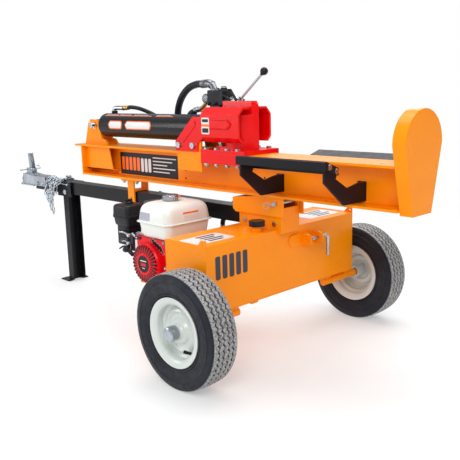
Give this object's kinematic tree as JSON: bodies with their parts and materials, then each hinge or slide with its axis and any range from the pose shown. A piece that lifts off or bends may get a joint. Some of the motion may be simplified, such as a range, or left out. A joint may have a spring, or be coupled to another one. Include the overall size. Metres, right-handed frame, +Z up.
{
  "type": "log splitter",
  "caption": "Towable hydraulic log splitter: tilting beam with sliding wedge and cylinder on a wheeled tank, with a petrol engine, tongue, leg and ball coupler.",
  "frame": {"origin": "on the ground at mid-length and mid-width of the machine", "axes": "+X back to the foot plate, -X forward to the hitch, +Z up, +Y to the wheel on the far side from the filler cap"},
  "size_m": [2.637, 1.19, 1.102],
  "materials": {
    "left_tyre": "matt",
    "right_tyre": "matt",
    "left_rim": "gloss paint",
    "right_rim": "gloss paint",
    "left_hub_cap": "polished",
    "right_hub_cap": "polished",
    "left_bearings": "brushed",
    "right_bearings": "brushed",
    "hydraulic_tank": "satin paint",
    "axle_stubs": "satin paint",
    "filler_cap": "moulded",
    "vertical_lock_pin": "zinc plated",
    "tongue_tube": "satin paint",
    "leg": "satin paint",
    "leg_lock_pin": "zinc plated",
    "coupler_body": "zinc plated",
    "coupler_lever": "zinc plated",
    "safety_chains": "zinc plated",
    "pivot_bracket": "satin paint",
    "frame_bolts": "zinc plated",
    "pivot_pin": "zinc plated",
    "pivot_channel": "satin paint",
    "beam": "satin paint",
    "foot_plate": "satin paint",
    "saddle": "satin paint",
    "saddle_pin": "zinc plated",
    "beam_brackets": "satin paint",
    "cylinder_barrel": "gloss paint",
    "cylinder_gland": "satin paint",
    "cylinder_rod": "polished",
    "cylinder_pin": "zinc plated",
    "wedge": "gloss paint",
    "slide_plate": "gloss paint",
    "slide_keepers": "gloss paint",
    "slide_bolts": "zinc plated",
    "stripper_left": "gloss paint",
    "stripper_right": "gloss paint",
    "beam_bolts": "zinc plated",
    "cradle_left": "satin paint",
    "cradle_right": "satin paint",
    "valve_body": "painted casting",
    "valve_spool": "polished",
    "valve_lever": "brushed",
    "engine_block": "as cast",
    "crankshaft": "brushed",
    "flywheel": "as cast",
    "engine_fan_cover": "gloss paint",
    "recoil_housing": "gloss paint",
    "recoil_grip": "moulded",
    "fuel_tank": "gloss paint",
    "fuel_cap": "polished",
    "air_cleaner_cover": "moulded",
    "air_cleaner_base": "moulded",
    "carburettor": "as cast",
    "throttle_lever": "zinc plated",
    "muffler": "heat stained",
    "pump_adapter": "as cast",
    "hydraulic_pump": "painted casting",
    "chassis_hoses": "matt",
    "beam_hoses": "matt"
  },
  "bodies": {
    "chassis": {"hydraulic_tank": "hydraulic_tank", "axle_stubs": "axle_stubs", "tongue_tube": "tongue_tube", "pivot_bracket": "pivot_bracket", "frame_bolts": "frame_bolts", "pivot_pin": "pivot_pin", "coupler_body": "coupler_body", "safety_chains": "safety_chains", "engine_block": "engine_block", "engine_fan_cover": "engine_fan_cover", "recoil_housing": "recoil_housing", "fuel_tank": "fuel_tank", "air_cleaner_cover": "air_cleaner_cover", "air_cleaner_base": "air_cleaner_base", "carburettor": "carburettor", "muffler": "muffler", "pump_adapter": "pump_adapter", "hydraulic_pump": "hydraulic_pump", "chassis_hoses": "chassis_hoses"},
    "left_wheel": {"left_tyre": "left_tyre", "left_rim": "left_rim", "left_hub_cap": "left_hub_cap", "left_bearings": "left_bearings"},
    "right_wheel": {"right_tyre": "right_tyre", "right_rim": "right_rim", "right_hub_cap": "right_hub_cap", "right_bearings": "right_bearings"},
    "parking_leg": {"leg": "leg"},
    "leg_pin": {"leg_lock_pin": "leg_lock_pin"},
    "latch": {"coupler_lever": "coupler_lever"},
    "upright_lock": {"vertical_lock_pin": "vertical_lock_pin"},
    "oil_cap": {"filler_cap": "filler_cap"},
    "petrol_cap": {"fuel_cap": "fuel_cap"},
    "starter_grip": {"recoil_grip": "recoil_grip"},
    "throttle": {"throttle_lever": "throttle_lever"},
    "crank": {"crankshaft": "crankshaft", "flywheel": "flywheel"},
    "beam_frame": {"beam": "beam", "foot_plate": "foot_plate", "pivot_channel": "pivot_channel", "saddle": "saddle", "beam_brackets": "beam_brackets", "cylinder_barrel": "cylinder_barrel", "cylinder_gland": "cylinder_gland", "cylinder_pin": "cylinder_pin", "stripper_left": "stripper_left", "stripper_right": "stripper_right", "beam_bolts": "beam_bolts", "cradle_left": "cradle_left", "cradle_right": "cradle_right", "valve_body": "valve_body", "beam_hoses": "beam_hoses"},
    "saddle_lock": {"saddle_pin": "saddle_pin"},
    "wedge_carriage": {"wedge": "wedge", "slide_plate": "slide_plate", "slide_keepers": "slide_keepers", "slide_bolts": "slide_bolts", "cylinder_rod": "cylinder_rod"},
    "spool": {"valve_spool": "valve_spool"},
    "handle": {"valve_lever": "valve_lever"}
  },
  "joints": [
    {"name": "beam_tilt", "type": "hinge", "parent": "chassis", "child": "beam_frame", "pos_m": [0.7325, 0, 0.59], "axis": [0, 1, 0], "range_deg": [0, 90]},
    {"name": "wedge_slide", "type": "slide", "parent": "beam_frame", "child": "wedge_carriage", "axis": [1, 0, 0], "range_m": [0, 0.61]},
    {"name": "handle_swing", "type": "hinge", "parent": "beam_frame", "child": "handle", "pos_m": [0.4465, 0.045, 0.972], "axis": [0, 1, 0], "range_deg": [-18, 18]},
    {"name": "spool_slide", "type": "slide", "parent": "beam_frame", "child": "spool", "axis": [1, 0, 0], "range_m": [-0.006, 0.006]},
    {"name": "left_wheel_spin", "type": "hinge", "parent": "chassis", "child": "left_wheel", "pos_m": [0.7145, -0.516, 0.21], "axis": [0, 1, 0], "continuous": true},
    {"name": "right_wheel_spin", "type": "hinge", "parent": "chassis", "child": "right_wheel", "pos_m": [0.7145, 0.516, 0.21], "axis": [0, 1, 0], "continuous": true},
    {"name": "leg_fold", "type": "hinge", "parent": "chassis", "child": "parking_leg", "pos_m": [-0.7975, 0, 0.499], "axis": [0, -1, 0], "range_deg": [0, 90]},
    {"name": "leg_pin_slide", "type": "slide", "parent": "chassis", "child": "leg_pin", "axis": [0, -1, 0], "range_m": [0, 0.12]},
    {"name": "latch_swing", "type": "hinge", "parent": "chassis", "child": "latch", "pos_m": [-1.2205, 0, 0.588], "axis": [0, 1, 0], "range_deg": [0, 75]},
    {"name": "upright_lock_slide", "type": "slide", "parent": "chassis", "child": "upright_lock", "axis": [0, -1, 0], "range_m": [-0.045, 0.033]},
    {"name": "saddle_lock_slide", "type": "slide", "parent": "beam_frame", "child": "saddle_lock", "axis": [0, 1, 0], "range_m": [-0.085, 0]},
    {"name": "oil_cap_turn", "type": "hinge", "parent": "chassis", "child": "oil_cap", "pos_m": [0.6845, -0.112, 0.51], "axis": [0, 0, 1], "range_deg": [0, 360]},
    {"name": "petrol_cap_turn", "type": "hinge", "parent": "chassis", "child": "petrol_cap", "pos_m": [0.3025, -0.215, 0.59], "axis": [0, 0, 1], "range_deg": [0, 90]},
    {"name": "crank_spin", "type": "hinge", "parent": "chassis", "child": "crank", "pos_m": [0.2545, -0.1, 0.33], "axis": [0, 1, 0], "continuous": true},
    {"name": "starter_pull", "type": "slide", "parent": "chassis", "child": "starter_grip", "axis": [-0.6, -0.8, 0], "range_m": [0, 0.5]},
    {"name": "throttle_swing", "type": "hinge", "parent": "chassis", "child": "throttle", "pos_m": [0.1545, -0.29, 0.418], "axis": [0, 1, 0], "range_deg": [-20, 20]}
  ],
  "couplings": [
    {"joint": "spool_slide", "follows": "handle_swing", "m_per_rad": 0.015}
  ]
}
